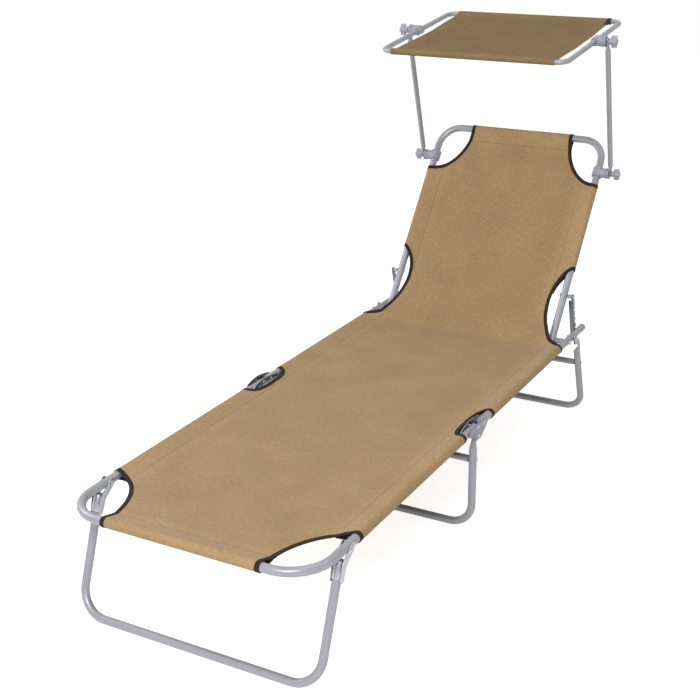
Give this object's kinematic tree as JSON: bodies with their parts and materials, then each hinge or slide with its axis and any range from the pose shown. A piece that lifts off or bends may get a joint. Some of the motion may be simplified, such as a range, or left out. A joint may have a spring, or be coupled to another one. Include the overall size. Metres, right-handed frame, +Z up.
{
  "type": "folding sun lounger with canopy",
  "caption": "Folding steel-tube sun lounger with a cloth bed, folding U legs, a reclining backrest on notched bars and a tilting cloth canopy on clamped arms.",
  "frame": {"origin": "on the ground under the middle of the overall box", "axes": "+Z up, +Y from the foot end towards the head, +X across the bed"},
  "size_m": [0.6068, 1.7133, 1.0217],
  "materials": {
    "steel": "silver-grey powder coat, satin",
    "plate": "zinc-plated steel, semi-gloss",
    "cloth": "woven polyester, matt taupe",
    "canopy_cloth": "woven polyester, matt taupe",
    "plastic": "moulded grey plastic, satin",
    "cap": "moulded grey plastic, satin"
  },
  "bodies": {
    "seat": {"seat_tube_left": "steel", "seat_tube_right": "steel", "tube_cap_left": "cap", "tube_cap_right": "cap", "hinge_plate_outer_left": "plate", "hinge_plate_outer_right": "plate", "hinge_plate_inner_left": "plate", "hinge_plate_inner_right": "plate", "foot_hinge_pin_left": "plate", "foot_hinge_pin_right": "plate", "seat_rivet_left": "plate", "seat_rivet_right": "plate", "middle_leg_pivot_left": "plate", "middle_leg_pivot_right": "plate", "rear_leg_pivot_left": "plate", "rear_leg_pivot_right": "plate", "backrest_pivot_left": "plate", "backrest_pivot_right": "plate", "backrest_spacer_left": "plastic", "backrest_spacer_right": "plastic", "adjuster_stud_left": "plate", "adjuster_stud_right": "plate", "seat_cloth": "cloth"},
    "foot_section": {"foot_frame": "steel", "foot_cloth": "cloth", "foot_leg_pivot_left": "plate", "foot_leg_pivot_right": "plate"},
    "foot_leg": {"foot_leg": "steel", "foot_bracket_outer_left": "plate", "foot_bracket_outer_right": "plate", "foot_bracket_inner_left": "plate", "foot_bracket_inner_right": "plate"},
    "middle_leg": {"middle_leg": "steel", "middle_brace": "steel", "middle_brace_rivet_left": "plate", "middle_brace_rivet_right": "plate"},
    "rear_leg": {"rear_leg": "steel", "rear_brace": "steel", "rear_brace_rivet_left": "plate", "rear_brace_rivet_right": "plate"},
    "backrest": {"backrest_frame": "steel", "back_cloth": "cloth", "adjuster_pin_left": "plate", "adjuster_pin_right": "plate", "lower_clamp_left": "plastic", "lower_clamp_right": "plastic"},
    "adjuster_left": {"adjuster_bar_left": "plate"},
    "adjuster_right": {"adjuster_bar_right": "plate"},
    "canopy_arms": {"canopy_arm_left": "steel", "canopy_arm_right": "steel"},
    "canopy": {"canopy_frame": "steel", "canopy_cloth": "canopy_cloth", "upper_clamp_left": "plastic", "upper_clamp_right": "plastic"},
    "lower_knob_left": {"lower_knob_left": "plastic"},
    "lower_knob_right": {"lower_knob_right": "plastic"},
    "upper_knob_left": {"upper_knob_left": "plastic"},
    "upper_knob_right": {"upper_knob_right": "plastic"}
  },
  "joints": [
    {"name": "foot_fold", "type": "hinge", "parent": "seat", "child": "foot_section", "pos_m": [0, -0.14082, 0.26], "axis": [-1, 0, 0], "range_deg": [0, 150]},
    {"name": "foot_leg_fold", "type": "hinge", "parent": "foot_section", "child": "foot_leg", "pos_m": [0, -0.71032, 0.2545], "axis": [1, 0, 0], "range_deg": [0, 102]},
    {"name": "middle_leg_fold", "type": "hinge", "parent": "seat", "child": "middle_leg", "pos_m": [0, -0.13632, 0.237], "axis": [1, 0, 0], "range_deg": [0, 84]},
    {"name": "rear_leg_fold", "type": "hinge", "parent": "seat", "child": "rear_leg", "pos_m": [0, 0.48968, 0.2545], "axis": [-1, 0, 0], "range_deg": [0, 103]},
    {"name": "backrest_recline", "type": "hinge", "parent": "seat", "child": "backrest", "pos_m": [0, 0.45318, 0.2545], "axis": [-1, 0, 0], "range_deg": [-68, 52.2]},
    {"name": "adjuster_swing_left", "type": "hinge", "parent": "backrest", "child": "adjuster_left", "pos_m": [0, 0.52918, 0.35248], "axis": [-1, 0, 0], "range_deg": [-29, 37.5]},
    {"name": "adjuster_swing_right", "type": "hinge", "parent": "backrest", "child": "adjuster_right", "pos_m": [0, 0.52918, 0.35248], "axis": [-1, 0, 0], "range_deg": [-29, 37.5]},
    {"name": "canopy_swing", "type": "hinge", "parent": "backrest", "child": "canopy_arms", "pos_m": [0, 0.74769, 0.63417], "axis": [1, 0, 0], "range_deg": [-115, 60]},
    {"name": "canopy_tilt", "type": "hinge", "parent": "canopy_arms", "child": "canopy", "pos_m": [0, 0.64894, 0.99023], "axis": [1, 0, 0], "range_deg": [-80, 80]},
    {"name": "lower_knob_turn_left", "type": "hinge", "parent": "backrest", "child": "lower_knob_left", "pos_m": [-0.29, 0.74769, 0.63417], "axis": [1, 0, 0], "continuous": true},
    {"name": "lower_knob_turn_right", "type": "hinge", "parent": "backrest", "child": "lower_knob_right", "pos_m": [0.29, 0.74769, 0.63417], "axis": [1, 0, 0], "continuous": true},
    {"name": "upper_knob_turn_left", "type": "hinge", "parent": "canopy", "child": "upper_knob_left", "pos_m": [-0.29, 0.64894, 0.99023], "axis": [1, 0, 0], "continuous": true},
    {"name": "upper_knob_turn_right", "type": "hinge", "parent": "canopy", "child": "upper_knob_right", "pos_m": [0.29, 0.64894, 0.99023], "axis": [1, 0, 0], "continuous": true}
  ],
  "couplings": [
    {"joint": "adjuster_swing_left", "follows": "backrest_recline", "ratio": -0.55},
    {"joint": "adjuster_swing_right", "follows": "backrest_recline", "ratio": -0.55}
  ]
}
